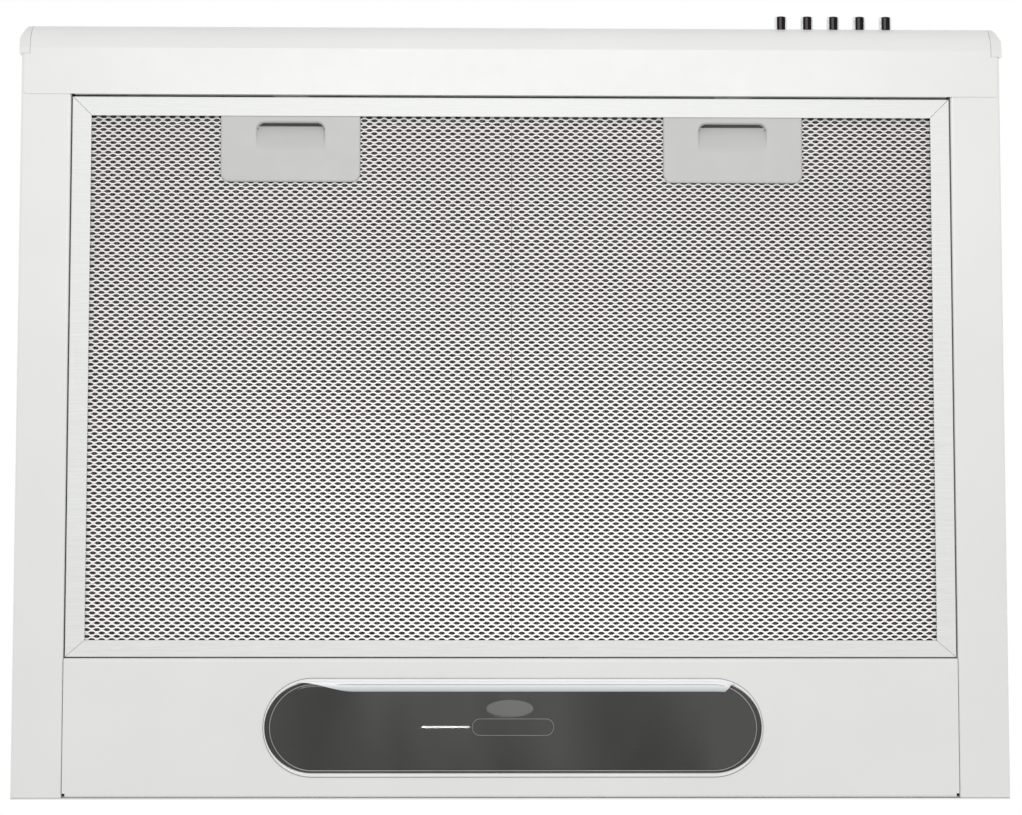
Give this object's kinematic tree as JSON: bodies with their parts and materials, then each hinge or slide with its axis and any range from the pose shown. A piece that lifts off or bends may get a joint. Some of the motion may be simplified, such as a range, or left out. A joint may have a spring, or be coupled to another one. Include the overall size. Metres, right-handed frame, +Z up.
{
  "type": "under cabinet range hood",
  "caption": "Slim under-cabinet cooker hood: white folded casing, round-nosed front with push buttons, mesh grease filter, lamp lens, blower and duct collar.",
  "frame": {"origin": "centre of the four cabinet screw holes, on the top face; the duct collar stands on the same axis", "axes": "+X to the hood's right along its width, +Y to the wall, +Z up through the duct collar"},
  "size_m": [0.6006, 0.4793, 0.1677],
  "materials": {
    "white_paint": "satin powder coat, fine orange peel",
    "white_plastic": "satin moulded, colour matched to the paint",
    "clear_plastic": "clear moulded polycarbonate, smoky over the dark lamp box",
    "bulb_glass": "frosted lamp glass",
    "lamp_plastic": "heat-resistant off-white",
    "zinc_steel": "zinc plated",
    "motor_steel": "laminated electrical steel",
    "bright_steel": "bright drawn",
    "copper_wire": "lacquered copper winding",
    "black_plastic": "fine matt",
    "grey_plastic": "moulded polypropylene",
    "filter_aluminium": "rolled, satin",
    "mesh_aluminium": "expanded mesh",
    "knitted_core": "knitted metal wire, dark in the holes of the mesh",
    "latch_plastic": "light grey moulded",
    "grommet_rubber": "matt",
    "capacitor_plastic": "white case",
    "cable_sheath": "black sheath",
    "button_chrome": "chromed plastic"
  },
  "bodies": {
    "hood": {"blower_fixings": "zinc_steel", "blower_lower": "grey_plastic", "blower_screws": "zinc_steel", "blower_upper": "grey_plastic", "button_springs": "bright_steel", "cable_grommet": "grommet_rubber", "capacitor": "capacitor_plastic", "capacitor_clamp": "zinc_steel", "collar_screws": "zinc_steel", "damper_pin": "bright_steel", "duct_collar": "black_plastic", "end_cap_left": "white_plastic", "end_cap_right": "white_plastic", "front_fascia": "white_paint", "housing_shell": "white_paint", "inlet_guards": "black_plastic", "lamp_box": "zinc_steel", "lamp_bulb_left": "bulb_glass", "lamp_bulb_right": "bulb_glass", "lamp_cable": "cable_sheath", "lamp_holder_left": "lamp_plastic", "lamp_holder_right": "lamp_plastic", "lamp_panel": "white_paint", "motor_bearings": "bright_steel", "motor_cable": "cable_sheath", "motor_shields": "zinc_steel", "motor_stator": "motor_steel", "motor_windings": "copper_wire", "side_panel_left": "white_paint", "side_panel_right": "white_paint", "switch_body": "black_plastic", "switch_bracket": "zinc_steel", "switch_cable": "cable_sheath", "terminal_box": "black_plastic", "terminal_lid": "black_plastic"},
    "filter": {"filter_core": "knitted_core", "filter_frame_front": "filter_aluminium", "filter_frame_left": "filter_aluminium", "filter_frame_rear": "filter_aluminium", "filter_frame_right": "filter_aluminium", "filter_hooks": "filter_aluminium", "filter_mesh_inner": "mesh_aluminium", "filter_mesh_outer": "mesh_aluminium", "latch_guides": "latch_plastic", "latch_springs": "bright_steel"},
    "latch_left": {"latch_handle_left": "latch_plastic"},
    "latch_right": {"latch_handle_right": "latch_plastic"},
    "lens": {"lamp_lens": "clear_plastic"},
    "fan_rotor": {"motor_shaft": "bright_steel", "motor_rotor": "motor_steel", "impeller_left": "black_plastic", "impeller_right": "black_plastic", "impeller_nuts": "zinc_steel"},
    "damper_front": {"damper_flap_front": "black_plastic"},
    "damper_rear": {"damper_flap_rear": "black_plastic"},
    "switch_button_1": {"button_1": "button_chrome"},
    "switch_button_2": {"button_2": "button_chrome"},
    "switch_button_3": {"button_3": "button_chrome"},
    "switch_button_4": {"button_4": "button_chrome"},
    "switch_button_5": {"button_5": "button_chrome"}
  },
  "joints": [
    {"name": "filter_swing", "type": "hinge", "parent": "hood", "child": "filter", "pos_m": [0, 0.0628, -0.1286], "axis": [1, 0, 0], "range_deg": [0, 60]},
    {"name": "latch_left_slide", "type": "slide", "parent": "filter", "child": "latch_left", "axis": [0, 1, 0], "range_m": [0, 0.008], "stiffness_N_per_m": 500, "springref_m": -0.004, "deforming": ["latch_springs"]},
    {"name": "latch_right_slide", "type": "slide", "parent": "filter", "child": "latch_right", "axis": [0, 1, 0], "range_m": [0, 0.008], "stiffness_N_per_m": 500, "springref_m": -0.004, "deforming": ["latch_springs"]},
    {"name": "lens_pull", "type": "slide", "parent": "hood", "child": "lens", "axis": [0, 0, -1], "range_m": [0, 0.04]},
    {"name": "fan_spin", "type": "hinge", "parent": "hood", "child": "fan_rotor", "pos_m": [0, 0, -0.064], "axis": [1, 0, 0], "continuous": true},
    {"name": "damper_rear_swing", "type": "hinge", "parent": "hood", "child": "damper_rear", "pos_m": [0, 0, 0.014], "axis": [1, 0, 0], "range_deg": [0, 75]},
    {"name": "damper_front_swing", "type": "hinge", "parent": "hood", "child": "damper_front", "pos_m": [0, 0, 0.014], "axis": [-1, 0, 0], "range_deg": [0, 75]},
    {"name": "button_1_push", "type": "slide", "parent": "hood", "child": "switch_button_1", "axis": [0, 1, 0], "range_m": [0, 0.004], "stiffness_N_per_m": 400, "springref_m": -0.003, "deforming": ["button_springs"]},
    {"name": "button_2_push", "type": "slide", "parent": "hood", "child": "switch_button_2", "axis": [0, 1, 0], "range_m": [0, 0.004], "stiffness_N_per_m": 400, "springref_m": -0.003, "deforming": ["button_springs"]},
    {"name": "button_3_push", "type": "slide", "parent": "hood", "child": "switch_button_3", "axis": [0, 1, 0], "range_m": [0, 0.004], "stiffness_N_per_m": 400, "springref_m": -0.003, "deforming": ["button_springs"]},
    {"name": "button_4_push", "type": "slide", "parent": "hood", "child": "switch_button_4", "axis": [0, 1, 0], "range_m": [0, 0.004], "stiffness_N_per_m": 400, "springref_m": -0.003, "deforming": ["button_springs"]},
    {"name": "button_5_push", "type": "slide", "parent": "hood", "child": "switch_button_5", "axis": [0, 1, 0], "range_m": [0, 0.004], "stiffness_N_per_m": 400, "springref_m": -0.003, "deforming": ["button_springs"]}
  ]
}
